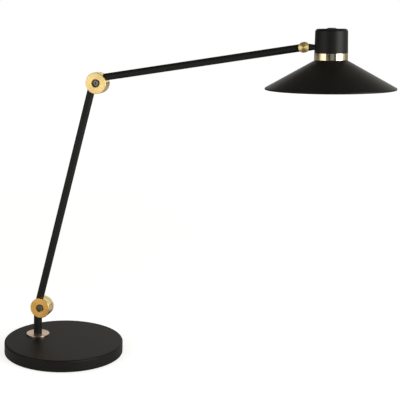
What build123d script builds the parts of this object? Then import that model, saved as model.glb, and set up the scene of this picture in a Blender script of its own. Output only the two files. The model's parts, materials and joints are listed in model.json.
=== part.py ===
from build123d import *
from collections import namedtuple
from math import asin, atan2, cos, degrees, hypot, radians, sin, sqrt, tan
import os

# A desk lamp: round iron base, post, two tube arms on brass fold-flat knuckles, tilting cone shade.
# Millimetres and degrees, +Z up. The origin is the centre of the base, on the table. The arms fold
# in a plane parallel to XZ through the post, and reach towards +X.

# Base
base_dia = 200.0
base_height = 20.0
base_edge_round = 2.5
pad_inset = 5.0
pad_thick = 2.0
pad_proud = 0.8
roof_thick = 7.4
chamber_dia = 40.0
post_back = 52.2
post_side = 10.7

# Brass disc at the foot of the post, and the swivel below it
foot_dia = 39.0
foot_thick = 2.0
foot_edge = 0.5
spindle_dia = 10.0
spindle_bore = 6.0
bush_wall = 2.0
bush_flange = 3.0
bush_flange_thick = 1.2
spring_washer_thick = 1.2
spring_washer_rim = 3.6
swivel_nut_flats = 17.0
swivel_nut_thick = 3.6
swivel_clearance = 0.2

# Cable inlet in the rim of the base, in line with the post
gland_bore = 6.6
gland_barrel = 11.0
gland_flange = 15.0
gland_flange_thick = 2.4
gland_length = 14.0
gland_height = 9.4
gland_spot_depth = 1.0
gland_edge = 0.8
channel_width = 9.0

# Post and arms: tubes, their lengths between pivots and their angles above the horizontal
post_dia = 14.0
lower_dia = 12.5
upper_dia = 11.5
tube_wall = 1.0
shoulder_height = 70.5
lower_length = 399.3
upper_length = 337.3
post_angle = 90.0
lower_angle = 76.54
upper_angle = 11.16
head_angle = 2.58
fold_offset = 7.5
spigot_length = 16.0
flex_bore = 3.6

# Travel of the two big knuckles from the pose shown, counter-clockwise positive
shoulder_travel = (-37.0, 28.0)
elbow_travel = (-55.0, 45.0)

# Knuckles: outer size, cheek and tongue thickness, edge rounding
Knuckle = namedtuple("Knuckle", "dia cheek tongue edge bolt bite")
big = Knuckle(dia=34.6, cheek=7.8, tongue=5.0, edge=1.0, bolt=6.0, bite=5.0)
small = Knuckle(dia=16.2, cheek=5.0, tongue=5.0, edge=0.6, bolt=4.0, bite=3.4)
friction_thick = 0.5
tongue_relief = 0.25
swing_gap = 0.4
run_fit = 0.05
seat_gap = 0.05

# Fasteners of the big knuckles, sunk in both cheeks
sink_dia = 14.0
sink_depth = 5.0
bolt_head_dia = 8.6
bolt_head_thick = 3.8
bolt_chamfer = 0.5
bolt_hex = 4.0
bolt_hex_depth = 2.4
nut_flats = 10.0
nut_thick = 3.4
nut_chamfer = 0.5
disc_spring_dia = 12.0
disc_spring_thick = 0.8

# Pivot screw of the small knuckle, put in from the far side, and its countersink
screw_head_dia = 7.6
screw_slot_width = 1.0
screw_slot_depth = 0.9
screw_blind = 1.6

# Head: cap, brass ring and cone, measured from the tilt pivot
cap_reach = 41.3
cap_top = 27.9
cap_height = 36.5
cap_dia = 50.9
cap_draft = 0.7
cap_edge_round = 4.6
cap_wall = 1.4
ring_dia = 50.9
ring_height = 10.6
ring_wall = 4.0
ring_web = 2.5
ring_spigot = 2.2
ring_edge = 0.4
shade_dia = 201.0
shade_height = 44.5
shade_wall = 1.0
shade_lip = 2.4
shade_seat_inset = 0.9

# Stem between the small knuckle and the cap
stem_dia = 10.6
stem_end_dia = 8.2
tail_dia = 5.0
tail_length = 8.0
saddle_dia = 9.0
saddle_thick = 2.0
stem_nut_flats = 8.0
stem_nut_thick = 3.2

# Lampholder, clamp ring and bulb
holder_dia = 27.0
holder_top = 5.0
holder_flange_dia = 36.0
holder_flange_thick = 2.5
holder_skirt = 0.6
holder_bore = 15.4
holder_floor = 3.0
holder_chamfer = 1.4
clamp_ring_dia = 41.0
clamp_ring_thick = 4.0
clamp_notches = 12
clamp_notch_dia = 3.0
bulb_cap_dia = 13.8
bulb_cap_length = 22.0
bulb_tip_dia = 6.0
bulb_tip = 1.4
bulb_neck = 14.6
globe_dia = 34.0
globe_wall = 1.0
globe_blend = 2.0
globe_above_rim = 3.0

# Push switch in the top of the cap
button_dia = 11.6
button_thick = 2.7
button_proud = 1.3
button_travel = 1.0
button_clearance = 0.2
button_crown = 0.5
plunger_dia = 4.0
plunger_length = 8.0
bezel_dia = 15.2
bezel_thick = 0.7
bezel_edge = 0.35
switch_neck_wall = 0.9
switch_dia = 17.0
switch_length = 14.0


# Values that follow from the sizes above
def half_length(knuckle):
    return knuckle.tongue / 2 + friction_thick + knuckle.cheek


def reach_to_rim(knuckle, offset):
    return sqrt((knuckle.dia / 2) ** 2 - offset**2)


def along(point, angle, forward, left=0.0):
    """Goes forward at an angle in the arms' plane, and to the left of that line."""
    turn = radians(angle)
    return (
        point[0] + forward * cos(turn) - left * sin(turn),
        point[1] + forward * sin(turn) + left * cos(turn),
    )


post_axis = (-post_back, post_side)
shoulder = (-post_back + fold_offset, shoulder_height)
elbow = along(shoulder, lower_angle, lower_length)
head_pivot = along(elbow, upper_angle, upper_length, fold_offset)
chamber_top = base_height - roof_thick
foot_top = base_height + foot_thick
pad_radius = base_dia / 2 - pad_inset
bush_radius = spindle_dia / 2 + bush_wall
gland_bearing = degrees(atan2(post_side, -post_back))
cap_bottom = cap_top - cap_height
ring_bottom = cap_bottom - ring_height
rim_level = ring_bottom - shade_height
holder_seat = ring_bottom + ring_web
holder_bottom = ring_bottom - shade_wall - clamp_ring_thick - holder_skirt
holder_roof = holder_top - holder_floor


# Round bars along each axis, tubes and frames
def rod_x(dia, start, end, z=0.0):
    bar = Cylinder(dia / 2, end - start, rotation=(0, 90, 0))
    return Pos((start + end) / 2, 0, z) * bar


def rod_y(dia, start, end):
    return Pos(0, (start + end) / 2, 0) * Cylinder(dia / 2, end - start, rotation=(90, 0, 0))


def rod_z(dia, start, end):
    return Pos(0, 0, (start + end) / 2) * Cylinder(dia / 2, end - start)


def washer_z(dia, hole, start, end):
    return rod_z(dia, start, end) - rod_z(hole, start, end)


def hex_y(flats, start, end):
    """A hexagonal prism along Y."""
    face = Plane.XZ * RegularPolygon(flats / 2, 6, major_radius=False)
    return Pos(0, start, 0) * extrude(face, amount=end - start, dir=(0, 1, 0))


def turned(points):
    """Revolves an outline of radius and height pairs about Z."""
    outline = Polyline([(radius, 0, height) for radius, height in points], close=True)
    return revolve(make_face(outline), Axis.Z)


def round_rims(solid, axis, size):
    """Rounds the outer edges at both ends of a turned piece."""
    levels = solid.edges().filter_by(GeomType.CIRCLE).group_by(axis)
    return fillet(levels[0] + levels[-1], size)


def arm_frame(pivot, angle):
    """X runs along the arm, Z to its left, and Y is the pivot's axis."""
    return Location((pivot[0], post_side, pivot[1]), (0, -angle, 0))


at_post = Pos(post_axis[0], post_axis[1], 0)
at_gland = Rot(0, 0, gland_bearing)
post_frame = arm_frame(shoulder, post_angle)
lower_frame = arm_frame(shoulder, lower_angle)
upper_frame = arm_frame(elbow, upper_angle)
head_frame = arm_frame(head_pivot, head_angle)
on_cap = head_frame * Pos(cap_reach, 0, 0)


# Base and swivel
def base_plate():
    plate = rod_z(base_dia, pad_proud, base_height)
    plate = fillet(plate.edges().group_by(Axis.Z)[-1], base_edge_round)
    plate -= rod_z(2 * (pad_radius + seat_gap), pad_proud, pad_thick)
    plate -= at_post * rod_z(chamber_dia, pad_proud, chamber_top)
    plate -= at_post * rod_z(2 * (bush_radius + seat_gap), chamber_top, base_height)
    return plate - gland_seat() - cable_channel()


def gland_seat():
    """The hole for the inlet's barrel, with a flat spot face for its flange."""
    rim = base_dia / 2
    barrel = rod_x(gland_barrel + 2 * seat_gap, rim - gland_length, rim, gland_height)
    spot_dia = gland_flange + 2 * seat_gap
    spot = rod_x(spot_dia, rim - gland_spot_depth, rim + gland_flange_thick, gland_height)
    return at_gland * (barrel + spot)


def cable_channel():
    """A groove under the plate, from the chamber to the inlet, which the pad closes."""
    start = hypot(*post_axis)
    end = base_dia / 2 - gland_length
    top = gland_height + channel_width / 2
    groove = Box(end - start, channel_width, top - pad_proud)
    return at_gland * Pos((start + end) / 2, 0, (top + pad_proud) / 2) * groove


def cable_gland():
    rim = base_dia / 2 - gland_spot_depth
    barrel = rod_x(gland_barrel, base_dia / 2 - gland_length, rim, gland_height)
    flange = rod_x(gland_flange, rim, rim + gland_flange_thick, gland_height)
    flange = fillet(flange.edges().group_by(Axis.X)[-1], gland_edge)
    bush = barrel + flange
    hole = rod_x(gland_bore, base_dia / 2 - gland_length, rim + gland_flange_thick, gland_height)
    return at_gland * (bush - hole)


def base_pad():
    return rod_z(2 * pad_radius, 0, pad_thick)


def foot_disc():
    disc = rod_z(foot_dia, base_height, foot_top)
    disc = fillet(disc.edges().group_by(Axis.Z)[-1], foot_edge)
    return at_post * (disc - rod_z(spindle_dia + 2 * run_fit, base_height, foot_top))


def swivel_bush():
    flange_dia = 2 * (bush_radius + bush_flange)
    flange_bottom = chamber_top - bush_flange_thick
    bush = rod_z(2 * bush_radius, chamber_top, base_height) + rod_z(flange_dia, flange_bottom, chamber_top)
    return at_post * (bush - rod_z(spindle_dia + 2 * run_fit, flange_bottom, base_height))


spring_top = chamber_top - bush_flange_thick - swivel_clearance
spring_bottom = spring_top - spring_washer_thick
swivel_nut_bottom = spring_bottom - swivel_nut_thick


def post_spindle():
    """Hollow spindle: a plug in the foot of the post, and a thinner end down through the base."""
    plug_dia = post_dia - 2 * tube_wall - 2 * seat_gap
    foot = foot_top + swivel_clearance
    spindle = rod_z(plug_dia, foot, foot + spigot_length) + rod_z(spindle_dia, swivel_nut_bottom, foot)
    return at_post * (spindle - rod_z(spindle_bore, swivel_nut_bottom, foot + spigot_length))


def swivel_spring():
    hole = spindle_dia + 2 * seat_gap
    return at_post * washer_z(spindle_dia + 2 * spring_washer_rim, hole, spring_bottom, spring_top)


def swivel_nut():
    face = RegularPolygon(swivel_nut_flats / 2, 6, major_radius=False)
    nut = Pos(0, 0, swivel_nut_bottom) * extrude(face, amount=swivel_nut_thick, dir=(0, 0, 1))
    return at_post * (nut - rod_z(spindle_dia + 2 * seat_gap, swivel_nut_bottom, spring_bottom))


# Knuckles: a fork of two cheeks at the end of one arm, a tongue at the start of the next
def spigot_dia(tube_dia):
    return tube_dia - 2 * tube_wall - 2 * seat_gap


def fork(knuckle, tube_dia, offset):
    """Two cheeks on a spigot that plugs the tube coming in along X."""
    half = half_length(knuckle)
    rim = reach_to_rim(knuckle, offset)
    cheeks = round_rims(rod_y(knuckle.dia, -half, half), Axis.Y, knuckle.edge)
    body = cheeks + rod_x(spigot_dia(tube_dia), -rim - spigot_length, knuckle.bite - rim, offset)
    slot = knuckle.tongue / 2 + friction_thick
    return body - rod_y(knuckle.dia + 2 * seat_gap, -slot, slot)


def tongue(knuckle, tube_dia, offset):
    """A disc that turns between the cheeks, with a neck that swells to the next tube's spigot."""
    half = half_length(knuckle)
    rim = reach_to_rim(knuckle, offset)
    disc = rod_y(knuckle.dia - 2 * tongue_relief, -knuckle.tongue / 2, knuckle.tongue / 2)
    spigot = rod_x(spigot_dia(tube_dia), 0, rim + spigot_length, offset)
    swept = rod_y(knuckle.dia + 2 * swing_gap, -half, half)
    blade = Box(2 * knuckle.dia, knuckle.tongue, 2 * knuckle.dia)
    body = disc + (spigot - swept) + (spigot & swept & blade)
    return body - rod_y(knuckle.bolt + 2 * run_fit, -half, half)


def big_fork(tube_dia):
    """A fork with its fasteners' sinks, bored along the tube for the flex."""
    body = fork(big, tube_dia, fold_offset)
    half = half_length(big)
    body -= rod_y(big.bolt + 2 * run_fit, -half, half)
    body -= rod_y(sink_dia, -half, sink_depth - half)
    body -= rod_y(sink_dia, half - sink_depth, half)
    rim = reach_to_rim(big, fold_offset)
    return body - rod_x(flex_bore, -rim - spigot_length, big.bite - rim, fold_offset)


def big_tongue(tube_dia, bend, travel):
    """A tongue bored for the flex, with a window that takes the flex over the whole travel."""
    body = tongue(big, tube_dia, fold_offset)
    rim = reach_to_rim(big, fold_offset)
    body -= rod_x(flex_bore, -rim, rim + spigot_length, fold_offset)
    inlet = 180 - degrees(asin(2 * fold_offset / big.dia)) + bend
    margin = degrees(flex_bore / big.dia * 2)
    start = inlet - travel[1] - margin
    window = travel[1] - travel[0] + 2 * margin
    on_axis = (Align.NONE, Align.NONE, Align.CENTER)
    pie = Cylinder(big.dia, big.tongue, arc_size=window, rotation=(90, 0, 0), align=on_axis)
    hub = rod_y(2 * (fold_offset - flex_bore / 2), -big.tongue, big.tongue)
    return body - (Rot(0, -start, 0) * pie - hub)


def pivot_bolt():
    """Low-headed bolt with a hexagon socket, sunk below the near face."""
    half = half_length(big)
    seat = sink_depth - half
    top = seat - bolt_head_thick
    head = rod_y(bolt_head_dia, top, seat)
    head = chamfer(head.edges().group_by(Axis.Y)[0], bolt_chamfer)
    shank = rod_y(big.bolt, seat, bolt_end())
    shank = chamfer(shank.edges().group_by(Axis.Y)[-1], bolt_chamfer)
    return head + shank - hex_y(bolt_hex, top, top + bolt_hex_depth)


def bolt_end():
    return half_length(big) - sink_depth + disc_spring_thick + nut_thick


def disc_spring():
    start = half_length(big) - sink_depth
    end = start + disc_spring_thick
    return rod_y(disc_spring_dia, start, end) - rod_y(big.bolt + 2 * seat_gap, start, end)


def pivot_nut():
    start = bolt_end() - nut_thick
    corners = nut_flats / cos(radians(30))
    blank = rod_y(corners, start, bolt_end())
    blank = chamfer(blank.edges().group_by(Axis.Y)[-1], nut_chamfer)
    hole = rod_y(big.bolt + 2 * seat_gap, start, bolt_end())
    return (blank & hex_y(nut_flats, start, bolt_end())) - hole


def friction_discs(knuckle):
    """One thin disc on each side of the tongue, bored to clear the bolt."""
    inner = knuckle.tongue / 2 + seat_gap
    outer = knuckle.tongue / 2 + friction_thick
    dia = knuckle.dia - 2 * knuckle.edge
    hole = knuckle.bolt + 2 * run_fit
    near = rod_y(dia, -outer, -inner) - rod_y(hole, -outer, -inner)
    far = rod_y(dia, inner, outer) - rod_y(hole, inner, outer)
    return near + far


# Tubes, cut to the round of the knuckles at their ends
def knuckle_cut(knuckle, gap, at_x=0.0, at_z=0.0):
    half = half_length(knuckle)
    return Pos(at_x, 0, at_z) * rod_y(knuckle.dia + 2 * gap, -half, half)


def tube(dia, start, end, offset):
    bar = rod_x(dia, start, end, offset)
    return bar - rod_x(dia - 2 * tube_wall, start, end, offset)


def post_tube():
    foot = foot_top + swivel_clearance - shoulder_height
    return tube(post_dia, foot, 0, fold_offset) - knuckle_cut(big, seat_gap)


def lower_tube():
    bar = tube(lower_dia, 0, lower_length, fold_offset)
    return bar - knuckle_cut(big, swing_gap) - knuckle_cut(big, seat_gap, lower_length)


def upper_tube():
    bar = tube(upper_dia, 0, upper_length, fold_offset)
    return bar - knuckle_cut(big, swing_gap) - knuckle_cut(small, seat_gap, upper_length, fold_offset)


# Tilt knuckle at the head: plain near face, screw from the far side
def head_fork():
    half = half_length(small)
    body = fork(small, upper_dia, 0.0)
    body -= rod_y(small.bolt + 2 * run_fit, screw_blind - half, half)
    return body - screw_cone(half, run_fit)


def screw_cone(half, gap):
    """The screw's countersunk head, with an optional gap all round."""
    depth = (screw_head_dia - small.bolt) / 2
    cone = Cone(small.bolt / 2 + gap, screw_head_dia / 2 + gap, depth, rotation=(-90, 0, 0))
    return Pos(0, half - depth / 2, 0) * cone


def head_screw():
    half = half_length(small)
    head = screw_cone(half, 0.0)
    screw = head + rod_y(small.bolt, screw_blind - half + seat_gap, half)
    slot = Pos(0, half, 0) * Box(screw_head_dia, 2 * screw_slot_depth, screw_slot_width)
    return screw - slot


def head_tongue():
    """The tilting eye, with a threaded tail that goes through the stem and the cap's wall."""
    half = half_length(small)
    disc = rod_y(small.dia - 2 * tongue_relief, -small.tongue / 2, small.tongue / 2)
    body = disc + rod_x(tail_dia, 0, tail_end())
    return body - rod_y(small.bolt + 2 * run_fit, -half, half)


def cap_inside():
    return cap_reach - cap_radius_at(0.0) + cap_wall


def cap_radius_at(level):
    return cap_dia / 2 - cap_draft * (level - cap_bottom) / cap_height


def tail_end():
    return cap_inside() + tail_length


def head_stem():
    """Tapered black sleeve over the tail, cut to the knuckle and to the cap."""
    start = small.dia / 2 + swing_gap
    end = cap_reach - cap_radius_at(0.0)
    cone = Cone(stem_dia / 2, stem_end_dia / 2, end - start, rotation=(0, 90, 0))
    sleeve = Pos((start + end) / 2, 0, 0) * cone
    sleeve += rod_x(stem_dia, start - stem_dia / 2, start)
    sleeve += rod_x(stem_end_dia, end, end + cap_wall)
    sleeve -= rod_x(tail_dia + 2 * seat_gap, 0, tail_end())
    return sleeve - knuckle_cut(small, swing_gap) - Pos(cap_reach, 0, 0) * cap_body(seat_gap)


def stem_saddle():
    """Washer whose outer face follows the inside of the cap."""
    block = rod_x(saddle_dia, cap_inside() - saddle_thick, cap_inside() + saddle_thick)
    block &= Pos(cap_reach, 0, 0) * cap_hollow(seat_gap)
    return block - rod_x(tail_dia + 2 * seat_gap, 0, tail_end())


def stem_nut():
    start = cap_inside() + saddle_thick
    face = Plane.YZ * RegularPolygon(stem_nut_flats / 2, 6, major_radius=False)
    nut = Pos(start, 0, 0) * extrude(face, amount=stem_nut_thick, dir=(1, 0, 0))
    return nut - rod_x(tail_dia + 2 * seat_gap, start, start + stem_nut_thick)


# Cap, ring and shade, about the cap's own axis
def cap_body(gap=0.0):
    """The cap as if solid, with an optional gap all round."""
    top_dia = cap_dia - 2 * cap_draft
    solid = Cone(cap_dia / 2 + gap, top_dia / 2 + gap, cap_height)
    solid = Pos(0, 0, cap_bottom + cap_height / 2) * solid
    return fillet(solid.edges().group_by(Axis.Z)[-1], cap_edge_round)


def cap_hollow(gap=0.0):
    """The space inside the cap, with an optional gap all round."""
    inset = cap_wall + gap
    roof = cap_top - inset
    top_dia = cap_dia - 2 * cap_draft - 2 * inset
    solid = Cone(cap_dia / 2 - inset, top_dia / 2, roof - cap_bottom)
    solid = Pos(0, 0, (roof + cap_bottom) / 2) * solid
    return fillet(solid.edges().group_by(Axis.Z)[-1], cap_edge_round - cap_wall)


def switch_neck_dia():
    return button_dia + 2 * run_fit + 2 * switch_neck_wall


def shade_cap():
    shell = cap_body() - cap_hollow()
    shell -= rod_z(switch_neck_dia() + 2 * seat_gap, cap_top - 2 * cap_wall, cap_top)
    return shell - rod_x(tail_dia + 2 * seat_gap, -cap_dia, 0)


def shade_ring():
    outer = ring_dia / 2
    inner = outer - ring_wall
    spigot = cap_radius_at(cap_bottom + ring_spigot) - cap_wall - seat_gap
    hole = holder_dia / 2 + seat_gap
    ring = turned(
        [
            (hole, ring_bottom),
            (outer, ring_bottom),
            (outer, cap_bottom),
            (spigot, cap_bottom),
            (spigot, cap_bottom + ring_spigot),
            (inner, cap_bottom + ring_spigot),
            (inner, holder_seat),
            (hole, holder_seat),
        ]
    )
    edges = ring.edges().filter_by(GeomType.CIRCLE)
    outer_edges = [edge for edge in edges if abs(edge.radius - outer) < seat_gap]
    return fillet(outer_edges, ring_edge)


def shade():
    """A spun cone: a flat seat at the top, which the clamp ring holds, and a rim turned down to a lip."""
    seat_radius = ring_dia / 2 - shade_seat_inset
    rim = shade_dia / 2
    lip_top = rim_level + shade_lip
    fall = atan2(ring_bottom - lip_top, rim - seat_radius)
    flange_top = ring_bottom - shade_wall
    seat_turn = shade_wall * tan(fall / 2)
    rim_turn = shade_wall * tan((radians(90) - fall) / 2)
    hole = holder_dia / 2 + seat_gap
    return turned(
        [
            (hole, ring_bottom),
            (seat_radius, ring_bottom),
            (rim, lip_top),
            (rim, rim_level),
            (rim - shade_wall, rim_level),
            (rim - shade_wall, lip_top - rim_turn),
            (seat_radius - seat_turn, flange_top),
            (hole, flange_top),
        ]
    )


# Lampholder, its clamp ring and the bulb
def lampholder():
    radius = holder_dia / 2
    flange = holder_flange_dia / 2
    bore = holder_bore / 2
    return turned(
        [
            (0, holder_top),
            (radius - holder_chamfer, holder_top),
            (radius, holder_top - holder_chamfer),
            (radius, holder_seat + holder_flange_thick),
            (flange, holder_seat + holder_flange_thick),
            (flange, holder_seat),
            (radius, holder_seat),
            (radius, holder_bottom),
            (bore, holder_bottom),
            (bore, holder_roof),
            (0, holder_roof),
        ]
    )


def clamp_ring():
    top = ring_bottom - shade_wall
    bottom = top - clamp_ring_thick
    ring = washer_z(clamp_ring_dia, holder_dia + 2 * seat_gap, bottom, top)
    notch = rod_z(clamp_notch_dia, bottom, top)
    return ring - PolarLocations(clamp_ring_dia / 2, clamp_notches) * notch


def bulb_cap():
    """Screw cap of the bulb, up inside the lampholder, with its tip contact."""
    top = holder_roof - bulb_tip
    cap = rod_z(bulb_cap_dia, top - bulb_cap_length, top)
    return cap + rod_z(bulb_tip_dia, top, holder_roof)


def bulb_globe():
    """Frosted globe: a ball that ends above the rim, on a neck that plugs the screw cap."""
    lowest = rim_level + globe_above_rim
    centre = lowest + globe_dia / 2
    neck_top = holder_roof - bulb_tip - bulb_cap_length
    neck = rod_z(bulb_neck, centre, neck_top)
    ball = Pos(0, 0, centre) * Sphere(globe_dia / 2)
    globe = ball + neck
    rings = globe.edges().filter_by(GeomType.CIRCLE)
    globe = fillet(rings.filter_by_position(Axis.Z, centre, neck_top - seat_gap), globe_blend)
    hollow = Pos(0, 0, centre) * Sphere(globe_dia / 2 - globe_wall)
    return globe - hollow - rod_z(bulb_neck - 2 * globe_wall, centre, neck_top)


# Push switch
def switch_body():
    neck = switch_neck_dia()
    roof = cap_top - cap_wall
    body = rod_z(switch_dia, roof - switch_length, roof) + rod_z(neck, roof, cap_top + bezel_thick)
    floor = cap_top + button_proud - button_thick - button_travel - button_clearance
    body -= rod_z(button_dia + 2 * run_fit, floor, cap_top + bezel_thick)
    return body - rod_z(plunger_dia + 2 * run_fit, floor - plunger_length, floor)


def switch_bezel():
    neck = switch_neck_dia() + 2 * seat_gap
    ring = washer_z(bezel_dia, neck, cap_top, cap_top + bezel_thick)
    outer = [edge for edge in ring.edges().group_by(Axis.Z)[-1] if edge.radius > neck / 2 + seat_gap]
    return fillet(outer, bezel_edge)


def switch_button():
    top = cap_top + button_proud
    under = top - button_thick
    disc = rod_z(button_dia, under, top)
    disc = fillet(disc.edges().group_by(Axis.Z)[-1], button_crown)
    return disc + rod_z(plunger_dia, under - plunger_length, under)


# Where each piece goes: frame, then the piece
pieces = {
    "base_plate": base_plate(),
    "base_pad": base_pad(),
    "cable_gland": cable_gland(),
    "foot_disc": foot_disc(),
    "swivel_bush": swivel_bush(),
    "swivel_spring": swivel_spring(),
    "swivel_nut": swivel_nut(),
    "post_spindle": post_spindle(),
    "post_tube": post_frame * post_tube(),
    "shoulder_fork": post_frame * big_fork(post_dia),
    "shoulder_tongue": lower_frame * big_tongue(lower_dia, post_angle - lower_angle, shoulder_travel),
    "lower_tube": lower_frame * lower_tube(),
    "elbow_fork": lower_frame * Pos(lower_length, 0, 0) * big_fork(lower_dia),
    "elbow_tongue": upper_frame * big_tongue(upper_dia, lower_angle - upper_angle, elbow_travel),
    "upper_tube": upper_frame * upper_tube(),
    "head_fork": upper_frame * Pos(upper_length, 0, fold_offset) * head_fork(),
    "head_screw": upper_frame * Pos(upper_length, 0, fold_offset) * head_screw(),
    "head_friction": head_frame * friction_discs(small),
    "head_tongue": head_frame * head_tongue(),
    "head_stem": head_frame * head_stem(),
    "stem_saddle": head_frame * stem_saddle(),
    "stem_nut": head_frame * stem_nut(),
    "shade_cap": on_cap * shade_cap(),
    "shade_ring": on_cap * shade_ring(),
    "shade": on_cap * shade(),
    "lampholder": on_cap * lampholder(),
    "clamp_ring": on_cap * clamp_ring(),
    "bulb_cap": on_cap * bulb_cap(),
    "bulb_globe": on_cap * bulb_globe(),
    "switch_body": on_cap * switch_body(),
    "switch_bezel": on_cap * switch_bezel(),
    "switch_button": on_cap * switch_button(),
}
for joint, frame in (("shoulder", post_frame), ("elbow", lower_frame * Pos(lower_length, 0, 0))):
    pieces[joint + "_bolt"] = frame * pivot_bolt()
    pieces[joint + "_disc_spring"] = frame * disc_spring()
    pieces[joint + "_nut"] = frame * pivot_nut()
    pieces[joint + "_friction"] = frame * friction_discs(big)

os.makedirs("parts", exist_ok=True)
for name, solid in pieces.items():
    export_step(solid, f"parts/{name}.step")
print("shoulder", shoulder, "elbow", elbow, "head pivot", head_pivot, "knuckle half", half_length(big))
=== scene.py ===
"""Desk lamp: finishes, shade, camera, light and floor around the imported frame."""
import json

from math import atan2, pi, radians, tan

import bpy
from mathutils import Matrix, Vector


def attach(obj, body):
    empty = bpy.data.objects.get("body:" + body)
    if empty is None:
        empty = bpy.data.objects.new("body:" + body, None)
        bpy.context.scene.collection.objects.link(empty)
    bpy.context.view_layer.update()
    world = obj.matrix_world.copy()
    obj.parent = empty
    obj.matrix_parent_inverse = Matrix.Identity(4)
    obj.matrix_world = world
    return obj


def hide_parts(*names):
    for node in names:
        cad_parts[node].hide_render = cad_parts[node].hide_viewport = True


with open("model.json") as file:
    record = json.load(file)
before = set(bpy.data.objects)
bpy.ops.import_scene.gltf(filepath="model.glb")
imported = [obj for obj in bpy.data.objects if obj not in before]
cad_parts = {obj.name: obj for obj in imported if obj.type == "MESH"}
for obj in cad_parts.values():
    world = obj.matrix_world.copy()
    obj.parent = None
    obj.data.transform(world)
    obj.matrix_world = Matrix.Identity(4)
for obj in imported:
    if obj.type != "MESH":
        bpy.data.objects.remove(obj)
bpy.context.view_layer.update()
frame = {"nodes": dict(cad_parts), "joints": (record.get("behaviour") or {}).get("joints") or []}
mm = 0.001

# Places, from the frame. The button travels along the cap's axis
joints = {joint["name"]: joint for joint in frame["joints"]}
post_foot = Vector(joints["base_swivel"]["pos_m"])
shoulder = Vector(joints["shoulder_fold"]["pos_m"])
elbow = Vector(joints["elbow_fold"]["pos_m"])
head_pivot = Vector(joints["shade_tilt"]["pos_m"])
head_up = -Vector(joints["switch_press"]["axis"]).normalized()
across = Vector((0, 1, 0))
upwards = Vector((0, 0, 1))

# The head's own axes, which stand on the cap's axis, in the middle of the shade, level with the tilt pivot
head_angle = atan2(-head_up.x, head_up.z)
head_turn = Matrix.Translation(head_pivot) @ Matrix.Rotation(-head_angle, 4, "Y")
shade_sides = [(head_turn.inverted() @ vertex.co).x for vertex in frame["nodes"]["shade"].data.vertices]
cap_reach = (min(shade_sides) + max(shade_sides)) / 2
head_place = head_turn @ Matrix.Translation((cap_reach, 0, 0))


# Finishes
def linear(code):
    """An sRGB hex colour as linear light."""
    channels = [int(code[at : at + 2], 16) / 255 for at in (1, 3, 5)]
    return [c / 12.92 if c <= 0.04045 else ((c + 0.055) / 1.055) ** 2.4 for c in channels] + [1.0]


def grey(level):
    """A grey as linear light."""
    return (level, level, level, 1.0)


def add(tree, kind, links=None, values=None, stops=(), **settings):
    """Adds a node with its settings, its fixed inputs, what is linked to it, and a ramp's stops."""
    made = tree.nodes.new(kind)
    for key, value in settings.items():
        setattr(made, key, value)
    for socket, value in (values or {}).items():
        made.inputs[socket].default_value = value
    for socket, source in (links or {}).items():
        tree.links.new(source, made.inputs[socket])
    if stops:
        ramp = made.color_ramp.elements
        ramp.remove(ramp[1])
        ramp[0].position, ramp[0].color = stops[0]
        for position, colour in stops[1:]:
            ramp.new(position).color = colour
    return made


def new_finish(name, code, **sockets):
    """A material with one shader, whose uniform values are set on its own sockets."""
    material = bpy.data.materials.new(name)
    material.use_nodes = True
    shader = material.node_tree.nodes["Principled BSDF"]
    shader.inputs["Base Color"].default_value = linear(code)
    for socket, value in sockets.items():
        shader.inputs[socket.replace("_", " ")].default_value = value
    return material, material.node_tree, shader


def wear(finish, light, dark, patch, grain, depth, roughness):
    """Cloudy colour in patches, and fine grain in the gloss and the bump. Sizes in mm."""
    material, tree, shader = finish
    place = add(tree, "ShaderNodeTexCoord").outputs["Object"]
    clouds = add(tree, "ShaderNodeTexNoise", {"Vector": place}, {"Scale": 1 / (patch * mm), "Detail": 3.0})
    tint = add(
        tree,
        "ShaderNodeValToRGB",
        {"Fac": clouds.outputs["Fac"]},
        stops=((0.3, linear(dark)), (0.7, linear(light))),
    )
    tree.links.new(tint.outputs["Color"], shader.inputs["Base Color"])
    grit = add(tree, "ShaderNodeTexNoise", {"Vector": place}, {"Scale": 1 / (grain * mm), "Detail": 2.0})
    gloss = add(
        tree,
        "ShaderNodeMapRange",
        {"Value": grit.outputs["Fac"]},
        {"To Min": roughness[0], "To Max": roughness[1]},
    )
    tree.links.new(gloss.outputs["Result"], shader.inputs["Roughness"])
    bump = add(
        tree,
        "ShaderNodeBump",
        {"Height": grit.outputs["Fac"]},
        {"Strength": 0.6, "Distance": depth * mm},
    )
    tree.links.new(bump.outputs["Normal"], shader.inputs["Normal"])
    return material


# Powder coat on cast iron: baked plastic powder, matt, with a fine pebbled skin
iron_coat = wear(
    new_finish("powder_coated_iron", "#13100c", Specular_IOR_Level=0.22),
    light="#15120d",
    dark="#110e0a",
    patch=45.0,
    grain=0.9,
    depth=0.05,
    roughness=(0.46, 0.56),
)

# Satin lacquer on steel: sprayed, smooth, with a very slight orange peel
black_lacquer = wear(
    new_finish("satin_black_lacquer", "#181714", Specular_IOR_Level=0.2),
    light="#1a1915",
    dark="#161512",
    patch=30.0,
    grain=1.6,
    depth=0.012,
    roughness=(0.36, 0.44),
)

# Powder coat on the steel tubes: finer than on the base, and duller than lacquer
tube_coat = wear(
    new_finish("powder_coated_steel", "#151411", Specular_IOR_Level=0.25),
    light="#171613",
    dark="#13120f",
    patch=35.0,
    grain=0.7,
    depth=0.03,
    roughness=(0.52, 0.60),
)

# Blackened steel of the stem: turned, oxidised and oiled, a little glossier than the coats
black_steel = wear(
    new_finish("blackened_steel", "#2c2b2a", Specular_IOR_Level=0.5),
    light="#302f2d",
    dark="#282726",
    patch=6.0,
    grain=0.5,
    depth=0.01,
    roughness=(0.34, 0.44),
)

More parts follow.
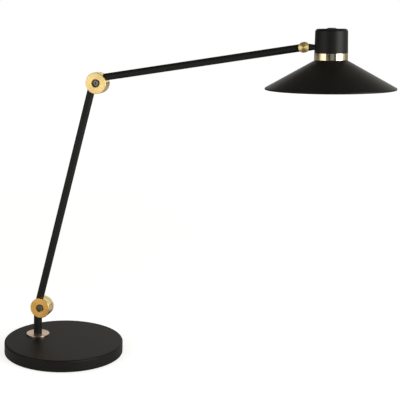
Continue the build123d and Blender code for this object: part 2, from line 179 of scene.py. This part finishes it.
# Stove enamel inside the shade: warm white, smooth and dull, to throw the light down
white_enamel = wear(
    new_finish("white_stove_enamel", "#ece8df", Specular_IOR_Level=0.4),
    light="#efece4",
    dark="#e8e4da",
    patch=40.0,
    grain=1.8,
    depth=0.01,
    roughness=(0.42, 0.50),
)

# Nylon of the gland, the bush and the friction discs: moulded, dark grey, waxy
black_nylon = wear(
    new_finish("black_nylon", "#1d1d1d"),
    light="#202020",
    dark="#1a1a1a",
    patch=12.0,
    grain=0.4,
    depth=0.01,
    roughness=(0.48, 0.56),
)

# ABS of the switch: moulded, black, with a soft gloss
switch_abs = wear(
    new_finish("black_abs", "#141414"),
    light="#161616",
    dark="#121212",
    patch=10.0,
    grain=0.35,
    depth=0.01,
    roughness=(0.34, 0.42),
)

# Thermoset resin of the lampholder: pressed hot, brownish black
holder_resin = wear(
    new_finish("thermoset_resin", "#232120"),
    light="#262322",
    dark="#201e1d",
    patch=9.0,
    grain=0.5,
    depth=0.01,
    roughness=(0.36, 0.46),
)

# Rubber sheet under the base: cut from a roll, dull, with a leathery grain
black_rubber = wear(
    new_finish("rubber_sheet", "#1a1a1a", Specular_IOR_Level=0.3),
    light="#1e1e1e",
    dark="#171717",
    patch=25.0,
    grain=0.6,
    depth=0.06,
    roughness=(0.75, 0.88),
)

# Zinc-plated steel: cool grey, bluish in the light, a little uneven in its gloss
zinc_steel = wear(
    new_finish("zinc_plated_steel", "#777b80", Metallic=1.0),
    light="#7d8186",
    dark="#70747a",
    patch=4.0,
    grain=0.3,
    depth=0.006,
    roughness=(0.36, 0.48),
)

# Brass bar, turned and lacquered: warm yellow, with gleams that fan out across the tool marks. The marks
# are several times coarser than real ones, so that they show close up
tool_mark_pitch = 0.4 * mm
tool_mark_depth = 0.002 * mm
tarnish_patch = 7.0 * mm
sink_radius = 7.0 * mm
sink_edge = 0.3 * mm
# The brown of the bolt sinks is painted shade
sink_painted_shade = "#7b6836"
# The paler tone of the knuckles' sides is a painted reflection, over their real polish
painted_reflection_brass = "#ffecb0"
ring_brass_tone = "#f1dcb4"
foot_brass_tone = "#f6ddc8"


def turn_on_lathe(tree, shader, place, centre, axis):
    """Draws rings of tool marks about an axis and spreads the gloss across them.

    It gives back the distance from the axis.
    """
    arm = add(tree, "ShaderNodeVectorMath", {0: place}, {1: centre}, operation="SUBTRACT")
    along_marks = add(
        tree,
        "ShaderNodeVectorMath",
        {1: arm.outputs["Vector"]},
        {0: axis},
        operation="CROSS_PRODUCT",
    )
    lay = add(
        tree,
        "ShaderNodeVectorTransform",
        {"Vector": along_marks.outputs["Vector"]},
        convert_from="OBJECT",
        convert_to="WORLD",
    )
    upright = add(tree, "ShaderNodeNewGeometry").outputs["Normal"]
    over_marks = add(
        tree,
        "ShaderNodeVectorMath",
        {0: lay.outputs["Vector"], 1: upright},
        operation="CROSS_PRODUCT",
    )
    tree.links.new(over_marks.outputs["Vector"], shader.inputs["Tangent"])
    from_axis = add(tree, "ShaderNodeVectorMath", {0: along_marks.outputs["Vector"]}, operation="LENGTH")
    turns = add(
        tree,
        "ShaderNodeMath",
        {0: from_axis.outputs["Value"]},
        {1: 2 * pi / tool_mark_pitch},
        operation="MULTIPLY",
    )
    marks = add(tree, "ShaderNodeMath", {0: turns.outputs["Value"]}, operation="SINE")
    bump = add(
        tree,
        "ShaderNodeBump",
        {"Height": marks.outputs["Value"]},
        {"Strength": 0.15, "Distance": tool_mark_depth},
    )
    tree.links.new(bump.outputs["Normal"], shader.inputs["Normal"])
    return from_axis.outputs["Value"]


def turned_brass(name, bright, dull, side_tone, centre, axis, face_gloss, side_gloss, spread, sink=0.0):
    """Brass turned on a lathe about an axis: fine rings, and a gloss that spreads across them.

    Its faces are left satin from the tool, and its sides are polished glossier, with a tone of their own,
    which on the knuckles is paler: a painted reflection.
    In a sink round the axis the face is darkened to brown: painted shade.
    """
    material, tree, shader = new_finish(name, bright, Metallic=1.0, Anisotropic=spread)
    surface = add(tree, "ShaderNodeTexCoord").outputs
    from_axis = turn_on_lathe(tree, shader, surface["Object"], centre, axis)
    along_axis = add(tree, "ShaderNodeVectorMath", {0: surface["Normal"]}, {1: axis}, operation="DOT_PRODUCT")
    faced = add(tree, "ShaderNodeMath", {0: along_axis.outputs["Value"]}, operation="ABSOLUTE")
    clouds = add(
        tree,
        "ShaderNodeTexNoise",
        {"Vector": surface["Object"]},
        {"Scale": 1 / tarnish_patch, "Detail": 4.0},
    )
    tint = add(
        tree,
        "ShaderNodeValToRGB",
        {"Fac": clouds.outputs["Fac"]},
        stops=((0.35, linear(dull)), (0.65, linear(bright))),
    )
    # Painted shade: in the sink round the bolt, the face tone turns to brown
    out_of_sink = add(
        tree,
        "ShaderNodeMapRange",
        {"Value": from_axis},
        {"From Min": sink - sink_edge, "From Max": sink},
    )
    face_tone_with_sink_shade = add(
        tree,
        "ShaderNodeMix",
        {"Factor": out_of_sink.outputs["Result"], "B": tint.outputs["Color"]},
        {"A": linear(sink_painted_shade)},
        data_type="RGBA",
    )
    # The sides take the side tone; on the knuckles it is paler, a painted reflection
    tone = add(
        tree,
        "ShaderNodeMix",
        {"Factor": faced.outputs["Value"], "B": face_tone_with_sink_shade.outputs["Result"]},
        {"A": linear(side_tone)},
        data_type="RGBA",
    )
    tree.links.new(tone.outputs["Result"], shader.inputs["Base Color"])
    gloss = add(
        tree,
        "ShaderNodeMapRange",
        {"Value": faced.outputs["Value"]},
        {"To Min": side_gloss, "To Max": face_gloss},
    )
    uneven = add(
        tree,
        "ShaderNodeMapRange",
        {"Value": clouds.outputs["Fac"]},
        {"To Min": 0.9, "To Max": 1.1},
    )
    gloss_here = add(
        tree,
        "ShaderNodeMath",
        {0: gloss.outputs["Result"], 1: uneven.outputs["Result"]},
        operation="MULTIPLY",
    )
    tree.links.new(gloss_here.outputs["Value"], shader.inputs["Roughness"])
    return material


# Each knuckle's brass has a tone of its own, orange at the shoulder and paler yellow at the elbow: painted
# light, standing in for how the light falls on one and the same brass
shoulder_brass = turned_brass(
    "turned_brass_shoulder",
    bright="#ffca70",
    dull="#fac064",
    side_tone=painted_reflection_brass,
    centre=shoulder,
    axis=across,
    face_gloss=0.42,
    side_gloss=0.20,
    spread=0.5,
    sink=sink_radius,
)
elbow_brass = turned_brass(
    "turned_brass_elbow",
    bright="#f0d491",
    dull="#e9ca85",
    side_tone=painted_reflection_brass,
    centre=elbow,
    axis=across,
    face_gloss=0.38,
    side_gloss=0.20,
    spread=0.5,
    sink=sink_radius,
)
tilt_brass = turned_brass(
    "turned_brass_tilt",
    bright="#fde096",
    dull="#f6d68a",
    side_tone=painted_reflection_brass,
    centre=head_pivot,
    axis=across,
    face_gloss=0.42,
    side_gloss=0.25,
    spread=0.98,
)
ring_brass = turned_brass(
    "polished_brass_ring",
    bright=ring_brass_tone,
    dull="#ecd4a6",
    side_tone=ring_brass_tone,
    centre=head_place.translation,
    axis=head_up,
    face_gloss=0.2,
    side_gloss=0.13,
    spread=0.2,
)
foot_brass = turned_brass(
    "satin_brass_foot",
    bright=foot_brass_tone,
    dull="#efd3bc",
    side_tone=foot_brass_tone,
    centre=post_foot,
    axis=upwards,
    face_gloss=0.35,
    side_gloss=0.2,
    spread=0.4,
)

# Opal glass: white flashed glass that scatters the light, glossy outside
opal_depth = 3.0 * mm
opal_patch = 8.0 * mm
opal_glass, opal_tree, opal_shader = new_finish("opal_glass", "#f1eee6", Subsurface_Weight=0.35, IOR=1.5)
opal_shader.inputs["Subsurface Radius"].default_value = (opal_depth, opal_depth, opal_depth)
opal_place = add(opal_tree, "ShaderNodeTexCoord").outputs["Object"]
opal_clouds = add(opal_tree, "ShaderNodeTexNoise", {"Vector": opal_place}, {"Scale": 1 / opal_patch})
opal_gloss = add(
    opal_tree,
    "ShaderNodeMapRange",
    {"Value": opal_clouds.outputs["Fac"]},
    {"To Min": 0.18, "To Max": 0.28},
)
opal_tree.links.new(opal_gloss.outputs["Result"], opal_shader.inputs["Roughness"])

finish_of = {
    iron_coat: ["base_plate"],
    black_lacquer: ["shade_cap", "shade"],
    tube_coat: ["post_tube", "lower_tube", "upper_tube"],
    black_steel: ["head_stem"],
    shoulder_brass: ["shoulder_fork", "shoulder_tongue"],
    elbow_brass: ["elbow_fork", "elbow_tongue"],
    tilt_brass: ["head_fork", "head_tongue"],
    ring_brass: ["shade_ring"],
    foot_brass: ["foot_disc"],
    zinc_steel: [
        "post_spindle",
        "swivel_spring",
        "swivel_nut",
        "shoulder_bolt",
        "shoulder_disc_spring",
        "shoulder_nut",
        "elbow_bolt",
        "elbow_disc_spring",
        "elbow_nut",
        "head_screw",
        "stem_saddle",
        "stem_nut",
        "bulb_cap",
    ],
    black_rubber: ["base_pad"],
    black_nylon: ["cable_gland", "swivel_bush", "shoulder_friction", "elbow_friction", "head_friction"],
    switch_abs: ["switch_body", "switch_bezel", "switch_button"],
    holder_resin: ["lampholder", "clamp_ring"],
    opal_glass: ["bulb_globe"],
}
for material, names in finish_of.items():
    for name in names:
        solid = frame["nodes"][name]
        solid.data.materials.clear()
        solid.data.materials.append(material)

# Shade: the section of its solid is drawn again, with a rounded lip and corners, and spun about the cap's
# axis in finer steps
corner_round = 0.7 * mm
corner_segments = 4
lip_points = 16
spin_steps = 240
smooth_angle = radians(20)
same_point = 0.001 * mm
close_by = 0.01 * mm
least_lean = 0.1


def pick(piece, wanted):
    """Selects the points of a piece that are wanted, and nothing else, and stays in edit mode."""
    bpy.ops.object.mode_set(mode="EDIT")
    bpy.ops.mesh.select_all(action="DESELECT")
    bpy.ops.object.mode_set(mode="OBJECT")
    for vertex in piece.data.vertices:
        vertex.select = wanted(vertex.co)
    bpy.ops.object.mode_set(mode="EDIT")


def pull_end(sheet, start, points):
    """Extrudes the loose end of the section that is at one point along others."""
    pick(sheet, lambda place: (place - start).length < same_point)
    at = start
    for point in points:
        bpy.ops.mesh.extrude_vertices_move(TRANSFORM_OT_translate={"value": point - at})
        at = point


def make_shade():
    """Spins the shade as one sheet, black outside and white inside."""
    solid_points = [head_place.inverted() @ vertex.co for vertex in frame["nodes"]["shade"].data.vertices]
    section = [(point.xy.length, point.z) for point in solid_points]
    rim_radius = max(radius for radius, level in section)
    hole_radius = min(radius for radius, level in section)
    rim_level = min(level for radius, level in section)
    seat_level = max(level for radius, level in section)
    seat_radius = max(radius for radius, level in section if level > seat_level - close_by)
    lip_top = max(level for radius, level in section if radius > rim_radius - close_by)
    flange_under = min(level for radius, level in section if radius < hole_radius + close_by)
    wall = seat_level - flange_under

    # The inner wall runs a wall's thickness inside the outer one, so its corners are a little off theirs
    fall = atan2(seat_level - lip_top, rim_radius - seat_radius)
    seat_turn = wall * tan(fall / 2)
    rim_turn = wall * tan((pi / 2 - fall) / 2)
    outer_lip = Vector((rim_radius, 0, lip_top))
    inner_lip = Vector((rim_radius - wall, 0, lip_top - rim_turn))
    outer_seat = Vector((seat_radius, 0, seat_level))
    inner_seat = Vector((seat_radius - seat_turn, 0, flange_under))

    # The lip is the lower half of a circle, and both walls are pulled up from its ends
    lip_centre = Vector((rim_radius - wall / 2, 0, rim_level + wall / 2))
    out = Vector((wall / 2, 0, 0))
    bpy.ops.object.select_all(action="DESELECT")
    bpy.ops.mesh.primitive_circle_add(
        vertices=lip_points,
        radius=wall / 2,
        location=lip_centre,
        rotation=(pi / 2, 0, 0),
        fill_type="NOTHING",
    )
    sheet = bpy.context.object
    sheet.name = "spun_shade"
    bpy.ops.object.transform_apply(location=True, rotation=True, scale=True)
    pick(sheet, lambda place: place.z > lip_centre.z + close_by)
    bpy.ops.mesh.delete(type="VERT")
    pull_end(sheet, lip_centre + out, [outer_lip, outer_seat, Vector((hole_radius, 0, seat_level))])
    pull_end(sheet, lip_centre - out, [inner_lip, inner_seat, Vector((hole_radius, 0, flange_under))])
    corners = [outer_lip, inner_lip, outer_seat, inner_seat]
    pick(sheet, lambda place: min((place - corner).length for corner in corners) < same_point)
    bpy.ops.mesh.bevel(offset=corner_round, segments=corner_segments, affect="VERTICES")
    pick(sheet, lambda place: place.x < hole_radius + close_by)
    bpy.ops.mesh.edge_face_add()
    bpy.ops.mesh.select_all(action="SELECT")
    bpy.ops.mesh.spin(steps=spin_steps, angle=2 * pi, center=(0, 0, 0), axis=(0, 0, 1))
    bpy.ops.mesh.select_all(action="SELECT")
    bpy.ops.mesh.remove_doubles(threshold=close_by)
    bpy.ops.mesh.normals_make_consistent(inside=False)
    bpy.ops.object.mode_set(mode="OBJECT")

    # Faces that lean down or towards the axis, within the lip, are the white inside
    sheet.data.materials.append(black_lacquer)
    sheet.data.materials.append(white_enamel)
    for face in sheet.data.polygons:
        from_axis = face.center.xy.length
        towards_axis = face.normal.xy.dot(face.center.xy) < -least_lean * from_axis
        inwards = face.normal.z < -least_lean or towards_axis
        face.material_index = 1 if inwards and from_axis < rim_radius - wall / 2 else 0
    sheet.matrix_world = head_place
    bpy.ops.object.transform_apply(location=True, rotation=True, scale=True)
    bpy.ops.object.shade_smooth_by_angle(angle=smooth_angle)
    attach(sheet, "head")
    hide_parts("shade")


make_shade()

# Camera: its place in metres, and how far it is turned round, dipped and rolled, in degrees
camera_place = Vector((0.528519, -1.416527, 0.578644))
camera_turn = 12.0
camera_dip = 11.5548
camera_roll = 2.3594
camera_data = bpy.data.cameras.new("camera")
camera_data.sensor_width = 36.0
camera_data.lens = 82.939
camera_data.clip_start = 0.05
camera = bpy.data.objects.new("camera", camera_data)
camera.matrix_world = (
    Matrix.Translation(camera_place)
    @ Matrix.Rotation(radians(camera_turn), 4, "Z")
    @ Matrix.Rotation(radians(90.0 - camera_dip), 4, "X")
    @ Matrix.Rotation(radians(camera_roll), 4, "Z")
)
bpy.context.scene.collection.objects.link(camera)
bpy.context.scene.camera = camera

# Light: a softbox on each side of the camera, a card beyond the right one, a low card on the left, and a dim
# bluish window beside the camera. All face the middle of the lamp, and sizes are in metres
lamp_middle = Vector((0.2, 0.0, 0.35))
window_blue = (0.5, 0.68, 1.0)


def softbox(name, place, width, height, radiance, falloff=()):
    """A soft lamp whose face has a given brightness, where 1 is white.

    The falloff gives shares of that brightness at places across its width, from 0 to 1.
    """
    data = bpy.data.lights.new(name, "AREA")
    data.shape = "RECTANGLE"
    data.size = width
    data.size_y = height
    data.energy = radiance * pi * width * height
    if falloff:
        data.use_nodes = True
        face = data.node_tree
        spot = add(face, "ShaderNodeNewGeometry").outputs["Parametric"]
        sideways = add(face, "ShaderNodeSeparateXYZ", {"Vector": spot}).outputs["X"]
        stops = [(position, grey(share)) for position, share in falloff]
        fade = add(face, "ShaderNodeValToRGB", {"Fac": sideways}, stops=stops)
        face.links.new(fade.outputs["Color"], face.nodes["Emission"].inputs["Strength"])
    lamp = bpy.data.objects.new(name, data)
    lamp.location = place
    lamp.rotation_euler = (lamp_middle - Vector(place)).to_track_quat("-Z", "Y").to_euler()
    lamp.visible_camera = False
    bpy.context.scene.collection.objects.link(lamp)
    return data


softbox(
    "left_softbox",
    (-0.815, -0.767, 0.6),
    width=1.45,
    height=0.9,
    radiance=1.35,
    falloff=((0, 0.1), (0.555, 1)),
)
softbox(
    "right_softbox",
    (1.78, -0.607, 0.62),
    width=1.55,
    height=1.2,
    radiance=5.2,
    falloff=((0, 0.12), (0.2, 1), (0.65, 1), (1, 0.16)),
)
softbox(
    "right_side_card",
    (1.77, 0.93, 0.6),
    width=1.77,
    height=0.9,
    radiance=0.75,
    falloff=((0, 1), (0.5, 0.2)),
)
softbox("low_card", (-0.45, -1.55, 0.16), width=0.9, height=0.32, radiance=1.65)
window = softbox("window", (0.777, -1.546, 0.6), width=0.74, height=0.9, radiance=0.33)
window.color = window_blue

# Backdrop: white to the eye and through glass, and less than half as bright as a light. Gloss shows it a
# little warm: white behind the lamp, dimmer higher up and to the sides, dark in front and below the horizon
room_light = 0.4
gloss_cast = "#fffbf3"
world = bpy.data.worlds.new("studio")
bpy.context.scene.world = world
world.use_nodes = True
sky = world.node_tree
sky.nodes.clear()
path = add(sky, "ShaderNodeLightPath").outputs
direction = add(sky, "ShaderNodeTexCoord").outputs["Generated"]
way = add(sky, "ShaderNodeSeparateXYZ", {"Vector": direction}).outputs
behind = add(
    sky,
    "ShaderNodeValToRGB",
    {"Fac": way["Y"]},
    stops=((0.3, grey(0.05)), (0.64, grey(0.18)), (0.80, grey(0.35)), (0.88, grey(0.7)), (0.96, grey(1))),
)
horizon = add(
    sky,
    "ShaderNodeMapRange",
    {"Value": way["Z"]},
    {"From Min": -0.03, "From Max": 0.04, "To Min": 0.1},
)
mirrored = add(
    sky,
    "ShaderNodeMath",
    {0: behind.outputs["Color"], 1: horizon.outputs["Result"]},
    operation="MULTIPLY",
)
seen = add(
    sky,
    "ShaderNodeMath",
    {0: path["Is Camera Ray"], 1: path["Is Transmission Ray"]},
    operation="MAXIMUM",
)
unseen_level = add(
    sky,
    "ShaderNodeMix",
    {"Factor": path["Is Glossy Ray"], "B": mirrored.outputs["Value"]},
    {"A": room_light},
)
level = add(
    sky,
    "ShaderNodeMath",
    {0: seen.outputs["Value"], 1: unseen_level.outputs["Result"]},
    operation="MAXIMUM",
)
cast = add(
    sky,
    "ShaderNodeMix",
    {"Factor": path["Is Glossy Ray"]},
    {"A": grey(1), "B": linear(gloss_cast)},
    data_type="RGBA",
)
room = add(sky, "ShaderNodeBackground", {"Color": cast.outputs["Result"], "Strength": level.outputs["Value"]})
add(sky, "ShaderNodeOutputWorld", {"Surface": room.outputs["Background"]})

# Floor: pale card, brighter to the eye than the light on it makes it, and more so far off, so that it ends
# in white. Gloss shows it lifted a little. It lies just under the lamp
floor_width = 12.0
floor_drop = 0.2 * mm
near_lift, far_lift = 0.68, 0.84
near_reach, far_reach = 0.4, 3.0
gloss_lift = 0.1
bpy.ops.object.select_all(action="DESELECT")
bpy.ops.mesh.primitive_plane_add(size=floor_width, location=(0, 0, -floor_drop))
floor = bpy.context.object
floor.name = "floor"
card, card_tree, card_shader = new_finish("pale_card", "#c9c7c3", Roughness=0.9)
card_path = add(card_tree, "ShaderNodeLightPath").outputs
card_place = add(card_tree, "ShaderNodeTexCoord").outputs["Object"]
far = add(card_tree, "ShaderNodeVectorMath", {0: card_place}, operation="LENGTH")
to_white = add(
    card_tree,
    "ShaderNodeMapRange",
    {"Value": far.outputs["Value"]},
    {"From Min": near_reach, "From Max": far_reach, "To Min": near_lift, "To Max": far_lift},
)
to_eye = add(
    card_tree,
    "ShaderNodeMath",
    {0: card_path["Is Camera Ray"], 1: card_path["Is Transmission Ray"]},
    operation="MAXIMUM",
)
eye_lift = add(
    card_tree,
    "ShaderNodeMath",
    {0: to_eye.outputs["Value"], 1: to_white.outputs["Result"]},
    operation="MULTIPLY",
)
lift = add(
    card_tree,
    "ShaderNodeMath",
    {0: card_path["Is Glossy Ray"], 2: eye_lift.outputs["Value"]},
    {1: gloss_lift},
    operation="MULTIPLY_ADD",
)
card_shader.inputs["Emission Color"].default_value = grey(1)
card_tree.links.new(lift.outputs["Value"], card_shader.inputs["Emission Strength"])
floor.data.materials.append(card)

bpy.context.scene.view_settings.view_transform = "Standard"
